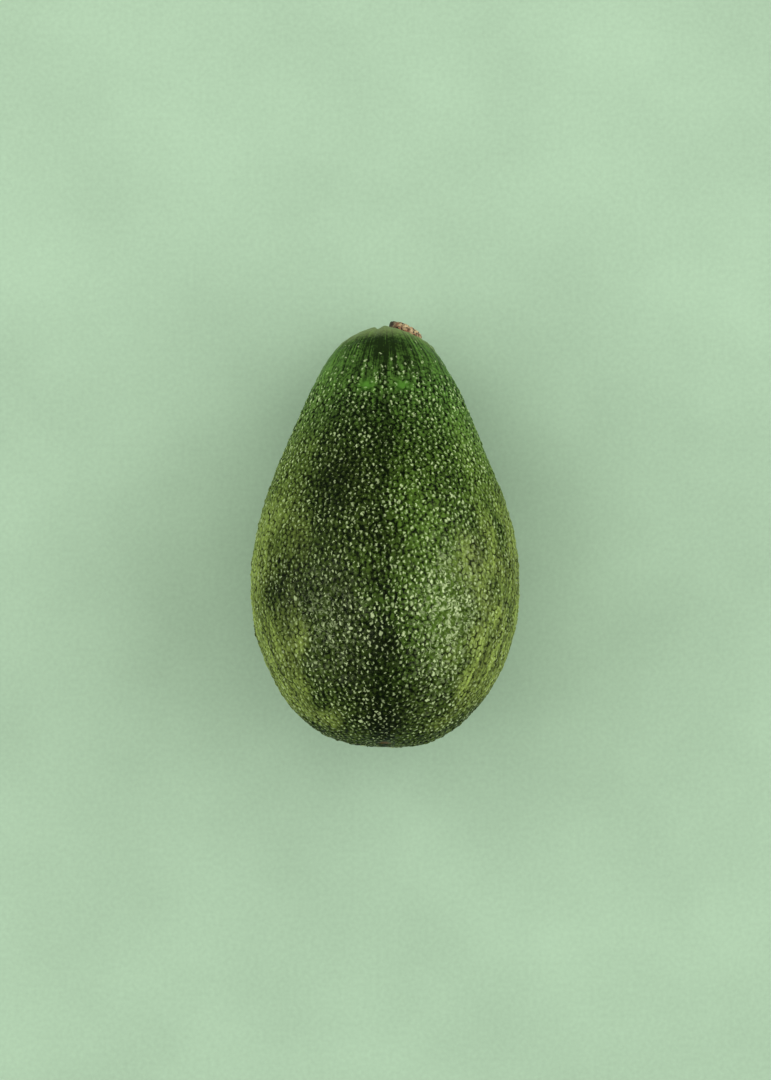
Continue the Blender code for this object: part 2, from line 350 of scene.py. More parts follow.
class Outline:
    """The plain fruit on its own axis, the blossom end at the origin and the stem end to
    +Y, and how it lies in the frame. Its half width is the sine of an angle times the
    fullness, and its place along the axis follows the angle's cosine."""

    def __init__(self, fruit, steps=6000):
        self.thickness_share = fruit.thickness_share
        self.width = fruit.width - 2 * fruit.pebble_height
        self.length = fruit.width * fruit.length_share - 2 * fruit.pebble_height
        angle = np.linspace(1e-4, math.pi - 1e-4, steps)
        cosine = np.cos(angle)
        fullness = sum(k * cosine**power for power, k in enumerate(FULLNESS))
        self.along = self.length / 2 * (1 - cosine)
        self.radius = self.width / 2 * np.sin(angle) * fullness
        step = np.hypot(np.diff(self.along), np.diff(self.radius))
        middle = (self.radius[1:] + self.radius[:-1]) / 2
        self.arc = self.running_sum(step)
        to_stem = np.clip((self.arc[-1] - self.arc[1:]) / CLOSER_REACH, 0, 1)
        closer = CLOSER_FACTOR + (1 - CLOSER_FACTOR) * to_stem**2
        share = self.running_sum(step * middle * closer)
        self.share = share / share[-1]  # of the pebbles, from the blossom end to here
        # A turned surface keeps its angles on a sphere whose latitude follows the
        # running sum of arc length over radius.
        stretch = self.running_sum(step / middle)
        self.latitude = 2 * np.arctan(np.exp(stretch - stretch[-1] / 2)) - math.pi / 2
        self.dip = self.find_dip()
        self.stem, self.stem_axes = self.stem_frame(fruit.stem_offset)
        self.move = np.zeros(3)
        self.move = self.find_move(fruit.pebble_height)

    @staticmethod
    def running_sum(steps):
        return np.concatenate([[0], np.cumsum(steps)])

    def find_dip(self):
        """The angle by which the stem end dips where the fruit lies still: there the
        outward normal at the place it touches passes through the centre of mass."""
        depth = self.thickness_share * self.radius
        centre = np.average(self.along, weights=self.radius**2 * np.gradient(self.along))
        slope = np.gradient(depth, self.along)
        miss = np.abs(self.along + depth * slope - centre)
        belly = np.abs(self.along / self.length - 0.5) < 0.25
        return math.atan(-slope[np.argmin(np.where(belly, miss, np.inf))])

    def stem_frame(self, offset):
        """The stem seat's centre on the plain skin and its axes as rows: across, towards
        the underside, and out of the fruit."""
        half = len(self.along) // 2
        radius, along = self.radius[half:][::-1], self.along[half:][::-1]
        slope = np.interp(offset, radius, np.gradient(along, radius))
        out = np.array([-slope, 1, 0]) / math.hypot(slope, 1)
        across = np.array([out[1], -out[0], 0])
        centre = np.array([offset, np.interp(offset, radius, along), 0])
        return centre, np.array([across, [0, 0, -1], out])

    def find_move(self, pebble_height):
        """The move that puts the laid fruit's middle, from above, and its top where the
        solid has them."""
        latitude, turn = np.meshgrid(self.latitude[::40], np.linspace(0, 2 * np.pi, 361))
        places, normals = self.skin(on_sphere(latitude.ravel(), turn.ravel()))
        laid = self.lay(places + pebble_height * normals)
        middle = (laid.min(axis=0) + laid.max(axis=0)) / 2
        target = (np.array(FRUIT_LOW) + np.array(FRUIT_HIGH)) / 2
        return np.array([*(target - middle)[:2], FRUIT_HIGH.z - laid[:, 2].max()])

    def skin(self, sphere):
        """Places and outward normals on the plain fruit for places on the unit sphere.
        The latitude follows the running sum of arc length over radius, which keeps
        angles, and the longitude stays."""
        latitude = np.arcsin(np.clip(sphere[:, 1], -1, 1))
        turn = np.arctan2(sphere[:, 2], sphere[:, 0])
        along = np.interp(latitude, self.latitude, self.along)
        radius = np.interp(latitude, self.latitude, self.radius)
        outward = np.interp(latitude, self.latitude, np.gradient(self.along, self.arc))
        forward = np.interp(latitude, self.latitude, -np.gradient(self.radius, self.arc))
        thick = self.thickness_share
        places = np.stack([radius * np.cos(turn), along, thick * radius * np.sin(turn)], axis=1)
        normals = np.stack(
            [outward * np.cos(turn), forward, outward * np.sin(turn) / thick], axis=1
        )
        return places, unit(normals)

    def shape_stem_end(self, places):
        """The places near the stem, moved along the stem's own axis: down to a flat seat
        within the seat's radius, up by a bell-shaped ring for the shoulder, and down by
        a bell-shaped groove for the fold."""
        local = (places - self.stem) @ self.stem_axes.T
        across = np.hypot(local[:, 0], local[:, 1])
        outside = smoothstep(across, SEAT_RADIUS, SEAT_RADIUS + SEAT_EDGE)
        shoulder = SHOULDER_HEIGHT * bell(across - SHOULDER_RADIUS, SHOULDER_WIDTH)
        fold = FOLD_DEPTH * bell(local[:, 0] + FOLD_OFFSET, FOLD_WIDTH)
        fold *= bell(local[:, 1], FOLD_LENGTH)
        near = (local[:, 2] > -2 * SHOULDER_RADIUS) & (across < 2 * SHOULDER_RADIUS)
        local[:, 2] = outside * (local[:, 2] + shoulder - fold) - (1 - outside) * SEAT_DEPTH
        return np.where(near[:, None], self.stem + local @ self.stem_axes, places)

    def lay(self, places):
        """The places, turned from the fruit's own axis so that the stem end dips, and
        moved to where the fruit lies."""
        return self.turn_down(places) + self.move

    def turn_down(self, directions):
        """The directions, turned so that the stem end dips."""
        cosine, sine = math.cos(self.dip), math.sin(self.dip)
        return directions @ np.array([[1, 0, 0], [0, cosine, -sine], [0, sine, cosine]])


def spread_triangles(points):
    """The triangles between points on the unit sphere, counterclockwise from outside. The
    last point is the pole at +Y. The others are projected from it onto a plane, where
    their Delaunay triangles are the sphere's, and the outermost are joined to the pole."""
    count = len(points)
    flat = points[:-1, (0, 2)] / (1 - points[:-1, 1:2])
    triangles = delaunay_2d_cdt([Vector(place) for place in flat.tolist()], [], [], 0, 0, False)[2]
    triangles = np.array(triangles)
    first = triangles.ravel()
    second = np.roll(triangles, -1, axis=1).ravel()
    outer = ~np.isin(second * count + first, first * count + second)
    to_pole = np.full(outer.sum(), count - 1)
    closing = np.stack([second[outer], first[outer], to_pole], axis=1)
    triangles = np.concatenate([triangles, closing])
    a, b, c = (points[triangles[:, corner]] for corner in range(3))
    inward = np.einsum("ij,ij->i", np.cross(b - a, c - a), a) < 0
    triangles[inward] = triangles[inward][:, ::-1]
    return triangles


def pebble_places(fruit, outline):
    """Places of the pebbles' tops on the unit sphere, their distances apart on the skin
    and the triangles between them. They are spread by the golden angle, jittered, and
    then evened out by moving each halfway to the mean of its neighbours. One more stays
    at the pole."""
    rng = np.random.default_rng(SKIN_SEED)
    number = np.arange(fruit.pebbles)
    share = (number + 0.5) / fruit.pebbles
    arc = np.interp(share, outline.share, outline.arc)
    radius = np.interp(share, outline.share, outline.radius)
    spacing = np.sqrt(2 * math.pi * radius * np.gradient(arc))
    arc = arc + PEBBLE_JITTER * spacing * rng.uniform(-1, 1, fruit.pebbles)
    turn = number * GOLDEN_ANGLE
    turn += PEBBLE_JITTER * spacing / radius * rng.uniform(-1, 1, fruit.pebbles)
    pole = [[0, 1, 0]]
    points = on_sphere(np.interp(arc, outline.arc, outline.latitude), turn)
    points = np.concatenate([points, pole])
    for _ in range(EVENING_PASSES):
        triangles = spread_triangles(points)
        neighbours = np.zeros_like(points)
        for corner in range(3):
            after = points[triangles[:, (corner + 1) % 3]]
            np.add.at(neighbours, triangles[:, corner], after)
        count = np.bincount(triangles.ravel(), minlength=len(points))[:, None]
        points = unit(points + neighbours / count)
        points[-1] = pole[0]
    return points, np.append(spacing, spacing[-1]), spread_triangles(points)


def pebble_net(tops, triangles):
    """The vertices of the pebbled skin on the unit sphere, and its faces.

    The vertices are the tops, then a valley at the middle of each triangle, then ring
    corners, part of the way from each triangle's corners to its valley. The half edge
    from one top to the next in a triangle has the face across it as its neighbour. It
    gives its first pebble a three-sided face inside the ring, and a four-sided face from
    the ring out to the two valleys beside the edge."""
    rng = np.random.default_rng(SKIN_SEED + 1)
    count, faces = len(tops), len(triangles)
    first = triangles.ravel()
    second = np.roll(triangles, -1, axis=1).ravel()
    edge = np.arange(3 * faces)
    key = first * count + second
    order = np.argsort(key)
    opposite = order[np.searchsorted(key, second * count + first, sorter=order)]
    across = opposite // 3
    beside = 3 * across + (opposite % 3 + 1) % 3
    valleys = unit(tops[triangles].mean(axis=1))
    out = rng.uniform(*RING_SHARE, (3 * faces, 1))
    ring = unit(tops[first] + out * (valleys[edge // 3] - tops[first]))
    ring_start = count + faces
    fans = np.stack([first, ring_start + beside, ring_start + edge], axis=1)
    rims = np.stack(
        [ring_start + beside, count + across, count + edge // 3, ring_start + edge], axis=1
    )
    return np.concatenate([tops, valleys, ring]), fans, rims, first


def add_attribute(mesh, name, domain, values):
    """Stores a number or a vector for each vertex or face."""
    kind, field = ("FLOAT", "value") if values.ndim == 1 else ("FLOAT_VECTOR", "vector")
    made = mesh.attributes.new(name, kind, domain)
    made.data.foreach_set(field, values.astype(np.float32).ravel())


def link_piece(mesh, material, node):
    """The mesh as a piece that rides on the body and stands for a node."""
    mesh.materials.append(material)
    mesh.shade_smooth()
    piece = bpy.data.objects.new(mesh.name, mesh)
    bpy.context.scene.collection.objects.link(piece)
    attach(piece, "root")
    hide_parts(node)


def skin_mesh(fruit, outline):
    """The fruit's skin. Each pebble is a dome: full height at its top, RING_LEVEL of it
    at the ring and none in the valleys. It is lifted along the plain skin's normal,
    with broad swells and a dimple at the blossom end."""
    rng = np.random.default_rng(SKIN_SEED + 2)
    tops, spacing, triangles = pebble_places(fruit, outline)
    sphere, fans, rims, first = pebble_net(tops, triangles)
    count, valley_count = len(tops), len(triangles)
    places, normals = outline.skin(sphere)
    top_places = places[:count]
    end = np.array([0, outline.length, 0])
    from_end = np.linalg.norm(top_places - end, axis=1)
    from_blossom = np.linalg.norm(top_places, axis=1)

    # Near the stem end fewer pebbles have a pale tip. The tips are bolder low in the
    # middle, and fainter on the left.
    chance = sum(more * smoothstep(from_end, near, far) for near, far, more in TIP_SHARES)
    present = rng.uniform(size=count) < chance
    present &= from_blossom > TIPLESS_BLOSSOM
    region = ripple(top_places, REGION_SIZE, SKIN_SEED + 3)
    across = sphere[:count, 0] / np.hypot(sphere[:count, 0], sphere[:count, 2] + 1e-9)
    along = top_places[:, 1] / outline.length
    bold = spot(across, along, *BOLD_TIPS)
    faint = spot(across, along, *FAINT_TIPS)
    size = np.exp(0.25 * rng.normal(size=count) + 0.06 * region)
    size += 0.15 * (1 - smoothstep(from_end, 18 * MM, 30 * MM))
    size *= 1 + 0.18 * bold - 0.06 * faint
    size = np.clip(size, 0.4, 2) * present
    tone = 0.47 + 0.5 * rng.uniform(size=count) + 0.06 * region
    tone = np.clip(tone + 0.12 * bold - 0.17 * faint, 0.1, 1)

    far = np.linalg.norm(places - end, axis=1)
    pebbled = smoothstep(far, SMOOTH_CAP, PEBBLED)
    height = fruit.pebble_height * spacing / np.median(spacing)
    height *= np.clip(1 + 0.35 * rng.normal(size=count) + 0.12 * region, 0.3, 2)
    height *= pebbled[:count] * np.where(present, 1, 0.5)
    pit = (rng.uniform(size=valley_count) < PIT_CHANCE) * rng.uniform(0.3, 1, valley_count)
    pit *= pebbled[count : count + valley_count]

    lift = np.concatenate([height, -PIT_DEPTH * pit, RING_LEVEL * height[first]])
    lift += CAP_LEVEL * fruit.pebble_height * (1 - pebbled)
    for number, (wavelength, swell) in enumerate(SWELLS):
        lift += swell * ripple(places, wavelength, SKIN_SEED + 10 + number)
    dimple = bell(np.linalg.norm(places, axis=1), BLOSSOM_DIMPLE_RADIUS)
    lift -= BLOSSOM_DIMPLE_DEPTH * dimple
    skin = outline.lay(outline.shape_stem_end(places + lift[:, None] * normals))
    skin[:, 2] = np.maximum(skin[:, 2], 0)

    mesh = bpy.data.meshes.new("avocado_skin")
    mesh.from_pydata(skin.tolist(), [], fans.tolist() + rims.tolist())
    owner = np.concatenate([first, first])
    add_attribute(mesh, "pebble_centre", "FACE", skin[owner])
    look = np.stack([size, tone, pebbled[:count]], axis=1)
    add_attribute(mesh, "pebble_look", "FACE", look[owner])
    turn = np.arctan2(sphere[:, 2], sphere[:, 0])
    meridian = np.stack([np.cos(turn), np.sin(turn), places[:, 1] / outline.length], axis=1)
    add_attribute(mesh, "meridian", "POINT", meridian)
    add_attribute(mesh, "ground", "POINT", ground_tones(meridian, places))
    marks = skin_marks(meridian)
    marks[count : count + valley_count, 2] = pit
    add_attribute(mesh, "marks", "POINT", marks)
    return mesh


def skin_marks(meridian):
    """How much of a net of painted highlights, of a smooth patch and of a pit with painted
    shade the skin has, at places that are given by the cosine and the sine of their turn and
    their share of the length. Each net and each patch is a bell across and along the fruit.
    The pits are 0 here."""
    across, up, along = meridian.T
    marks = np.zeros_like(meridian)
    for *where, strength in HIGHLIGHT_NETS:
        marks[:, 0] += strength * spot(across, along, *where)
    for where in PATCHES:
        marks[:, 1] += (up > 0) * spot(across, along, *where)
    return np.clip(marks, 0, 1)


def ground_tones(meridian, places):
    """How bright the skin is against its average, with broad painted shade and painted
    highlights in it, how green it is, and how much of a pale flank, at places that are
    given by the cosine and the sine of their turn and their share of the length. Each
    painted blotch is a bell across and along the fruit."""
    across, along = meridian[:, 0], meridian[:, 2]
    cloud = sum(
        strength * ripple(places, wavelength, SKIN_SEED + 20 + number)
        for number, (wavelength, strength) in enumerate(CLOUDS)
    )
    tone_and_painted_light = 1 + 0.08 * cloud
    # Broad painted shade and painted highlights
    for *where, brighter in LIGHT_AND_SHADE_BLOTCHES:
        tone_and_painted_light += brighter * spot(across, along, *where)
    # Green on the right, and olive on the left, low on the right and at the blossom end
    green = smoothstep(across + 0.1 * cloud, -0.45, 0.4)
    green *= 1 - 0.85 * smoothstep(across + 0.05 * cloud, 0.2, 0.6) * bell(along - 0.25, 0.2)
    green *= smoothstep(along + 0.02 * cloud, 0.02, 0.22)
    # A pale flank at each rim, below the fruit's middle: partly the skin's own yellower green,
    # partly painted light on the rims
    flank = smoothstep(np.abs(across) + 0.08 * cloud, 0.58, 0.96)
    flank *= 1 - 0.8 * smoothstep(along + 0.03 * cloud, 0.45, 0.65)
    flank *= smoothstep(along + 0.02 * cloud, 0.0, 0.12)
    flank *= 1 - 0.7 * spot(across, along, *FLANK_GAP)
    return np.stack([tone_and_painted_light, green, flank], axis=1)


def rind_material(fruit, outline):
    """Avocado rind: a thick green hide under a thin wax, with a pale corky lenticel on
    most pebbles. The wax gives only a faint, broad shine, the lenticels are drier and
    paler, and painted shade makes the green between them nearly black in the creases
    and pits. Broad painted shade, painted highlights and a painted sheen at the shoulder
    lie on the skin's tones."""
    made, tree = new_material("avocado rind")
    stem = tuple(outline.lay(outline.stem[None])[0] / MM)
    blossom = tuple(outline.lay(np.zeros((1, 3)))[0] / MM)
    axis = tuple(outline.turn_down(np.array([[0, 1, 0]]))[0])

    coordinates = add_node(tree, "TexCoord").outputs["Object"]
    mm = add_node(tree, "VectorMath", SCALE, {0: coordinates, "Scale": 1 / MM}).outputs[0]
    centre, meridian, look, marks, ground = (
        add_node(tree, "Attribute", {"attribute_name": name}).outputs["Vector"]
        for name in ("pebble_centre", "meridian", "pebble_look", "marks", "ground")
    )
    size, tone, pebbled = add_node(tree, "SeparateXYZ", inputs={0: look}).outputs
    highlight_net, patch, pit = add_node(tree, "SeparateXYZ", inputs={0: marks}).outputs
    tone_and_painted_light, green, flank = add_node(tree, "SeparateXYZ", inputs={0: ground}).outputs

    # The distance from the pebble's top in mm, shortened along the fruit so that the
    # dots come out a little long, and warped so that they aren't round
    offset = add_node(tree, "VectorMath", SUBTRACT, {0: coordinates, 1: centre})
    offset = add_node(tree, "VectorMath", SCALE, {0: offset.outputs[0], "Scale": 1 / MM}).outputs[0]
    warp = add_node(
        tree, "TexNoise", inputs={"Vector": mm, "Scale": 1.1, "Detail": 1.5}
    ).outputs["Color"]
    warp = add_node(
        tree, "VectorMath", MULTIPLY_ADD, {0: warp, 1: (2 * DOT_WARP,) * 3, 2: (-DOT_WARP,) * 3}
    ).outputs[0]
    warped = add_node(tree, "VectorMath", ADD, {0: offset, 1: warp}).outputs[0]
    square = add_node(tree, "VectorMath", DOT_PRODUCT, {0: warped, 1: warped})
    along = add_node(tree, "VectorMath", DOT_PRODUCT, {0: warped, 1: axis})
    along = along.outputs["Value"]
    along = add_node(tree, "Math", MULTIPLY, {0: along, 1: along}).outputs[0]
    square = add_node(
        tree, "Math", MULTIPLY_ADD, {0: along, 1: -DOT_LENGTHENING, 2: square.outputs["Value"]}
    ).outputs[0]
    distance = add_node(tree, "Math", {"operation": "SQRT"}, {0: square}).outputs[0]
    reach = add_node(tree, "Math", MULTIPLY, {0: size, 1: fruit.dot_radius / MM}).outputs[0]
    inner = add_node(tree, "Math", MULTIPLY, {0: reach, 1: DOT_INNER}).outputs[0]
    outer = add_node(tree, "Math", MULTIPLY, {0: reach, 1: DOT_OUTER}).outputs[0]
    dot = add_node(
        tree, "MapRange", SMOOTH, {"Value": distance, "From Min": outer, "From Max": inner}
    ).outputs[0]
    present = add_node(tree, "Math", {"operation": "GREATER_THAN"}, {0: size, 1: 0.01}).outputs[0]
    dot = add_node(tree, "Math", MULTIPLY, {0: dot, 1: present}).outputs[0]
    dot = add_node(tree, "Math", MULTIPLY, {0: dot, 1: tone}).outputs[0]

    # Painted highlights: short pale curls that join the dots in the highlight nets, thin bands
    # where a noise crosses its middle, broken up by a second noise
    highlight_curls = add_node(
        tree, "TexNoise", inputs={"Vector": mm, "Scale": 0.6, "Detail": 1.0, "Distortion": 1.2}
    ).outputs["Fac"]
    highlight_curls = add_node(tree, "Math", SUBTRACT, {0: highlight_curls, 1: 0.5}).outputs[0]
    highlight_curls = add_node(tree, "Math", {"operation": "ABSOLUTE"}, {0: highlight_curls}).outputs[0]
    highlight_curls = add_node(
        tree, "MapRange", inputs={"Value": highlight_curls, "From Min": 0.1, "From Max": 0.03}
    ).outputs[0]
    broken = add_node(
        tree, "TexNoise", inputs={"Vector": mm, "Scale": 0.7, "Detail": 2.0}
    ).outputs["Fac"]
    broken = add_node(
        tree, "MapRange", inputs={"Value": broken, "From Min": 0.42, "From Max": 0.6}
    ).outputs[0]
    highlight_curls = add_node(tree, "Math", MULTIPLY, {0: highlight_curls, 1: broken}).outputs[0]
    highlight_curls = add_node(tree, "Math", MULTIPLY, {0: highlight_curls, 1: highlight_net}).outputs[0]
    highlight_curls = add_node(tree, "Math", MULTIPLY, {0: highlight_curls, 1: 0.8}).outputs[0]
    dot = add_node(tree, "Math", MAXIMUM, {0: dot, 1: highlight_curls}).outputs[0]

    # The green ground: olive to green, with streaks that run along the fruit
    stretched = add_node(
        tree, "VectorMath", MULTIPLY, {0: meridian, 1: STREAK_SCALES}
    ).outputs[0]
    streaks = add_node(
        tree,
        "TexNoise",
        inputs={"Vector": stretched, "Scale": 0.6, "Detail": 4.0, "Roughness": 0.75},
    ).outputs["Fac"]
    mottle = add_node(
        tree, "TexNoise", inputs={"Vector": mm, "Scale": 1.2, "Detail": 3.0, "Roughness": 0.6}
    ).outputs["Fac"]
    streaky = add_node(
        tree, "MapRange", inputs={"Value": streaks, "From Min": 0.34, "From Max": 0.66}
    ).outputs[0]
    mottled = add_node(
        tree, "MapRange", inputs={"Value": mottle, "From Min": 0.34, "From Max": 0.66}
    ).outputs[0]
    colour = add_node(
        tree, "Mix", COLOURS, {0: green, 6: (*fruit.olive, 1), 7: (*fruit.green, 1)}
    ).outputs[2]
    # The pale flank, partly painted light on the rims
    colour = add_node(tree, "Mix", COLOURS, {0: flank, 6: colour, 7: (*fruit.flank, 1)}).outputs[2]

    # Fresh green round the stem
    from_stem = add_node(tree, "VectorMath", DISTANCE, {0: mm, 1: stem}).outputs["Value"]
    near_stem = add_node(
        tree,
        "MapRange",
        SMOOTH,
        {"Value": from_stem, "From Min": CROWN_OUTER, "From Max": CROWN_INNER, "To Max": 0.9},
    ).outputs[0]
    colour = add_node(
        tree, "Mix", COLOURS, {0: near_stem, 6: colour, 7: (*fruit.crown, 1)}
    ).outputs[2]

    # How deep the painted shade in the creases is: deeper in the dark places than in the bright
    # ones
    crease_shade_depth = add_node(
        tree,
        "MapRange",
        inputs={"Value": tone_and_painted_light, "From Min": 0.5, "From Max": 1.3, "To Min": 1.15, "To Max": 0.8},
    ).outputs[0]

    # Streaks show on the flanks and round the stem, and mottling everywhere.
    streak_share = add_node(tree, "Math", MAXIMUM, {0: near_stem, 1: flank}).outputs[0]
    streak_share = add_node(
        tree, "Math", MULTIPLY_ADD, {0: streak_share, 1: 0.85, 2: 0.1}
    ).outputs[0]
    centred = add_node(tree, "Math", MULTIPLY_ADD, {0: streaky, 1: 2.0, 2: -1.0}).outputs[0]
    tone_and_painted_light = add_node(
        tree, "Math", MULTIPLY_ADD, {0: centred, 1: streak_share, 2: tone_and_painted_light}
    ).outputs[0]
    # The pale tips follow the tone, with its painted shade and highlights, about a third as much
    dot_bright = add_node(tree, "Math", MULTIPLY_ADD, {0: tone_and_painted_light, 1: 0.35, 2: 0.68}).outputs[0]
    tone_and_painted_light = add_node(tree, "Math", MULTIPLY_ADD, {0: mottled, 1: 0.7, 2: tone_and_painted_light}).outputs[0]
    tone_and_painted_light = add_node(tree, "Math", SUBTRACT, {0: tone_and_painted_light, 1: 0.35}).outputs[0]
    tone_and_painted_light = add_node(tree, "Math", MAXIMUM, {0: tone_and_painted_light, 1: 0.15}).outputs[0]
    # The colour is scaled by its tone, with the broad painted shade and highlights in it
    colour = add_node(tree, "VectorMath", SCALE, {0: colour, "Scale": tone_and_painted_light}).outputs[0]

    # Painted sheen: pale olive at the shoulder, which is the outermost skin beyond the stem and
    # below it, in place of the reflection along its rim
    out = add_node(tree, "VectorMath", SUBTRACT, {0: mm, 1: stem}).outputs[0]
    out = add_node(
        tree, "VectorMath", DOT_PRODUCT, {0: out, 1: SHEEN_DIRECTION}
    ).outputs["Value"]
    ragged = add_node(tree, "Math", MULTIPLY_ADD, {0: mottle, 1: 2.4, 2: out}).outputs[0]
    shoulder_sheen = add_node(
        tree,
        "MapRange",
        SMOOTH,
        {"Value": ragged, "From Min": SHEEN_START, "From Max": SHEEN_FULL, "To Max": 0.75},
    ).outputs[0]
    colour = add_node(
        tree, "Mix", COLOURS, {0: shoulder_sheen, 6: colour, 7: (*fruit.shoulder, 1)}
    ).outputs[2]

    # Painted shade in the creases between the pebbles, nearly black in specks and where the
    # skin is dark, less so on the flanks and in the highlight nets
    crease_shade = add_node(
        tree,
        "MapRange",
        SMOOTH,
        {"Value": distance, "From Min": CREASE_SHADE_INNER, "From Max": CREASE_SHADE_OUTER, "To Max": 0.93},
    ).outputs[0]
    crease_shade = add_node(tree, "Math", MULTIPLY, {0: crease_shade, 1: pebbled}).outputs[0]
    crease_shade = add_node(tree, "Math", MULTIPLY, {0: crease_shade, 1: crease_shade_depth}).outputs[0]
    open_skin = add_node(tree, "Math", MAXIMUM, {0: flank, 1: highlight_net}).outputs[0]
    open_skin = add_node(tree, "Math", MULTIPLY_ADD, {0: open_skin, 1: -0.68, 2: 1.0}).outputs[0]
    crease_shade = add_node(tree, "Math", MULTIPLY, {0: crease_shade, 1: open_skin}).outputs[0]
    specks = add_node(
        tree,
        "MapRange",
        inputs={"Value": mottle, "From Min": 0.53, "From Max": 0.42, "To Min": 0.6, "To Max": 1.5},
    ).outputs[0]
    crease_shade = add_node(
        tree, "Math", {"operation": "MULTIPLY", "use_clamp": True}, {0: crease_shade, 1: specks}
    ).outputs[0]
    colour = add_node(tree, "Mix", COLOURS, {0: crease_shade, 6: colour, 7: (*fruit.shade, 1)}).outputs[2]

    # Pale dots, fainter on the flanks, smooth fresh patches and painted shade in the pits
    fainter = add_node(
        tree, "MapRange", inputs={"Value": flank, "To Min": 1.0, "To Max": 0.65}
    ).outputs[0]
    dot = add_node(tree, "Math", MULTIPLY, {0: dot, 1: fainter}).outputs[0]
    pale = add_node(
        tree, "VectorMath", SCALE, {0: tuple(fruit.dot), "Scale": dot_bright}
    ).outputs[0]
    colour = add_node(tree, "Mix", COLOURS, {0: dot, 6: colour, 7: pale}).outputs[2]
    colour = add_node(tree, "Mix", COLOURS, {0: patch, 6: colour, 7: (*fruit.patch, 1)}).outputs[2]
    # Painted shade in the pits, wider on the flanks
    wider = add_node(tree, "Math", MULTIPLY_ADD, {0: flank, 1: 0.3, 2: 0.8}).outputs[0]
    pit = add_node(tree, "Math", MULTIPLY, {0: pit, 1: wider}).outputs[0]
    pit = add_node(
        tree, "MapRange", inputs={"Value": pit, "From Min": 0.25, "From Max": 0.6, "To Max": 0.9}
    ).outputs[0]
    colour = add_node(tree, "Mix", COLOURS, {0: pit, 6: colour, 7: (*fruit.pit, 1)}).outputs[2]
    from_blossom = add_node(tree, "VectorMath", DISTANCE, {0: mm, 1: blossom}).outputs["Value"]
    scar = add_node(
        tree,
        "MapRange",
        SMOOTH,
        {"Value": from_blossom, "From Min": SCAR_OUTER, "From Max": SCAR_INNER},
    ).outputs[0]
    colour = add_node(tree, "Mix", COLOURS, {0: scar, 6: colour, 7: (*fruit.scar, 1)}).outputs[2]

    # The wax is smoother on the green than on the dots.
    roughness = add_node(
        tree, "MapRange", inputs={"Value": dot, "To Min": 0.36, "To Max": 0.5}
    ).outputs[0]
    grain = add_node(
        tree, "TexNoise", inputs={"Vector": mm, "Scale": 2.2, "Detail": 4.0, "Roughness": 0.65}
    ).outputs["Fac"]
    bump = add_node(
        tree, "Bump", inputs={"Strength": 0.6, "Distance": 0.12 * MM, "Height": grain}
    ).outputs[0]
    shader = add_node(
        tree,
        "BsdfPrincipled",
        inputs={
            "Base Color": colour,
            "Roughness": roughness,
            "Normal": bump,
            "IOR": 1.45,
            "Specular IOR Level": 0.04,
        },
    )
    add_node(tree, "OutputMaterial", inputs={"Surface": shader.outputs[0]})
    return made


def button_mesh(button, outline):
    """The stem button: a sphere squared off into a thick disc, thinner on its outer
    side, slightly dished on top, with lumps and pits. A place on it is given by a turn
    round the stem's axis and a latitude from its underside to its top. Its distance
    from the axis is the radius times the latitude's cosine to the power of the
    squareness, and its height follows the latitude's sine to the same power."""
    latitude = np.linspace(-math.pi / 2, math.pi / 2, BUTTON_RINGS)[1:-1]
    turn = np.linspace(0, 2 * math.pi, BUTTON_TURNS, endpoint=False)
    latitude, turn = (grid.ravel() for grid in np.meshgrid(latitude, turn, indexing="ij"))
    latitude = np.concatenate([latitude, [-math.pi / 2, math.pi / 2]])
    turn = np.concatenate([turn, [0, 0]])
    across = np.maximum(np.cos(latitude), 0)
    sine = np.sin(latitude)
    out = button.radius * across**BUTTON_SQUARENESS
    height = 0.5 + 0.5 * np.sign(sine) * np.abs(sine) ** BUTTON_SQUARENESS
    thickness = button.thickness * (1 - button.taper * across * np.cos(turn))
    places = np.stack([out * np.cos(turn), out * np.sin(turn), height * thickness], axis=1)
    coarse = ripple(places, COARSE_LUMPS, BUTTON_SEED)
    fine = ripple(places, FINE_LUMPS, BUTTON_SEED + 1)
    pits = smoothstep(ripple(places, CORK_PITS, BUTTON_SEED + 2), 1.1, 2.0)
    lump = button.lump * (0.4 * coarse + 0.22 * fine - 0.8 * pits)
    places[:, :2] *= 1 + lump[:, None] / button.radius
    places[:, 2] += height * lump
    places[:, 2] -= height * DISH_DEPTH * bell(out, DISH_RADIUS)
    places[:, 2] += BUTTON_GAP - SEAT_DEPTH
    laid = outline.lay(outline.stem + places @ outline.stem_axes)

    rings = BUTTON_RINGS - 2
    number = np.arange(rings * BUTTON_TURNS).reshape(rings, BUTTON_TURNS)
    after = np.roll(number, -1, axis=1)
    sides = np.stack([number[:-1], after[:-1], after[1:], number[1:]], axis=-1).reshape(-1, 4)
    bottom, top = rings * BUTTON_TURNS, rings * BUTTON_TURNS + 1
    floor = [(bottom, b, a) for a, b in zip(number[0].tolist(), after[0].tolist())]
    lid = [(top, a, b) for a, b in zip(number[-1].tolist(), after[-1].tolist())]
    mesh = bpy.data.meshes.new("avocado_stem_button")
    mesh.from_pydata(laid.tolist(), [], sides.tolist() + floor + lid)
    add_attribute(mesh, "pit", "POINT", pits)
    add_attribute(mesh, "height", "POINT", height)
    # Painted shade on the inner side, towards the fruit's axis
    shaded_side = smoothstep(-np.cos(turn) * out / button.radius, 0.3, 0.95)
    add_attribute(mesh, "shaded_side", "POINT", shaded_side)
    return mesh


